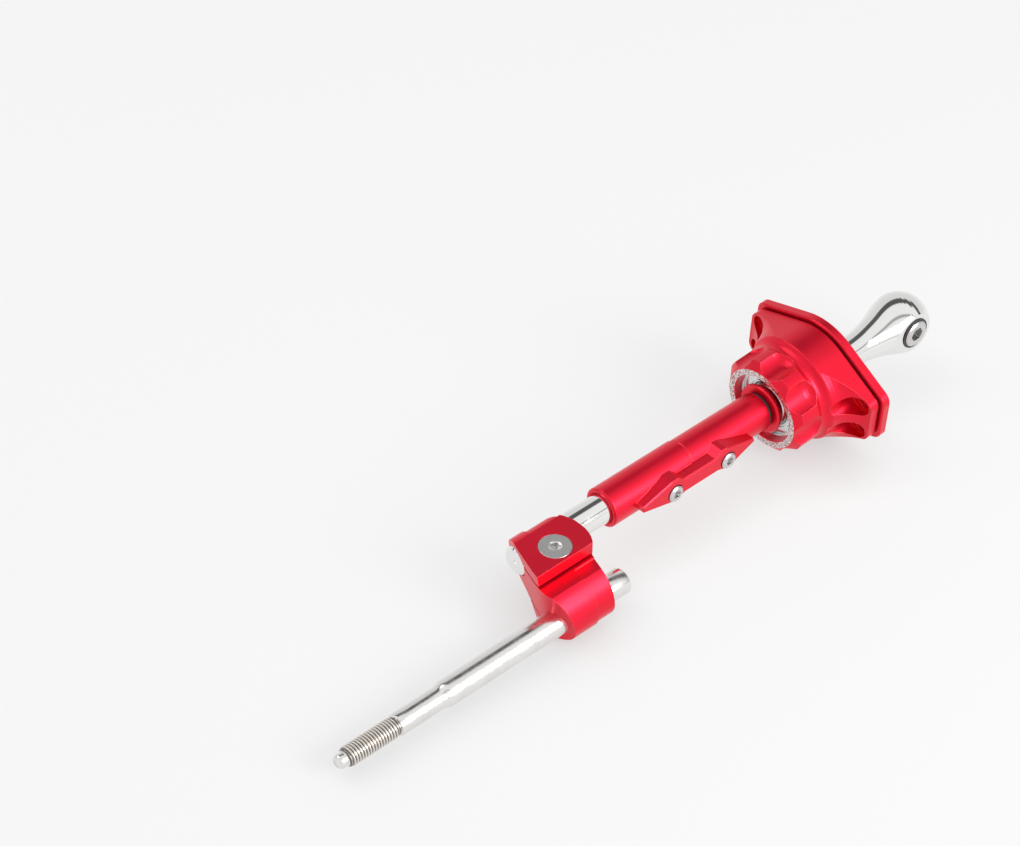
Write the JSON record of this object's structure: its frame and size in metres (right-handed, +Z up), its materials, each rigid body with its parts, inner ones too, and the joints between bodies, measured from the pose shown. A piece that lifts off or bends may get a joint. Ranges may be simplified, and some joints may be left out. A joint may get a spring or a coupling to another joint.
{
  "type": "gear shift lever",
  "caption": "Short-throw gear shift lever with ball-jointed flanged housing, height-adjustable shaft, offset clamp, threaded knob rod and a lower linkage eye.",
  "frame": {"origin": "centre of the mounting face, the underside of the base plate, on the housing's bearing axis", "axes": "+Z up along the housing's bearing axis towards the knob end, +X along the long side of the flange, +Y the way the lever leans at rest"},
  "size_m": [0.0846, 0.0598, 0.3976],
  "materials": {
    "red_anodised": "satin anodised",
    "polished_steel": "polished",
    "bright_steel": "turned and lightly polished",
    "bearing_steel": "ground",
    "spring_steel": "blackened",
    "stainless": "satin",
    "black_rubber": "matte",
    "brass": "turned",
    "black_polymer": "matte"
  },
  "bodies": {
    "mount": {"base_plate": "red_anodised", "gasket": "black_rubber", "plate_screws": "stainless", "plate_dowels": "bearing_steel", "housing": "red_anodised", "outer_race": "bearing_steel", "retaining_ring": "bearing_steel"},
    "swivel": {"liner": "bearing_steel"},
    "lever": {"ball": "bearing_steel", "lower_clip": "spring_steel", "collar": "red_anodised", "seal_ring": "black_rubber", "eye_lever": "polished_steel", "eye_bush": "black_polymer", "grip_tube": "red_anodised", "lock_screws": "stainless", "lock_pads": "brass"},
    "pin": {"cross_pin": "stainless"},
    "shaft": {"shaft": "polished_steel"},
    "clamp": {"clamp": "red_anodised", "cap_screw": "stainless", "jaw_screw": "stainless"},
    "rod": {"knob_rod": "bright_steel"}
  },
  "joints": [
    {"name": "shift_fore_aft", "type": "hinge", "parent": "mount", "child": "swivel", "pos_m": [0, 0, 0.0304], "axis": [1, 0, 0], "range_deg": [-7, 15]},
    {"name": "select_side", "type": "hinge", "parent": "swivel", "child": "lever", "pos_m": [0, 0, 0.0304], "axis": [0, 1, 0], "range_deg": [-6, 6]},
    {"name": "linkage_pin_turn", "type": "hinge", "parent": "lever", "child": "pin", "pos_m": [0, -0.00544, -0.05152], "axis": [0.9932, 0.1164, -0.0077], "range_deg": [-60, 60]},
    {"name": "height_slide", "type": "slide", "parent": "lever", "child": "shaft", "axis": [0, 0.0663, 0.9978], "range_m": [-0.018, 0.022]},
    {"name": "clamp_turn", "type": "hinge", "parent": "shaft", "child": "clamp", "pos_m": [0, 0.01025, 0.18466], "axis": [0, 0.0663, 0.9978], "range_deg": [-90, 90]},
    {"name": "rod_slide", "type": "slide", "parent": "clamp", "child": "rod", "axis": [0, 0.0663, 0.9978], "range_m": [-0.05, 0.008]}
  ]
}
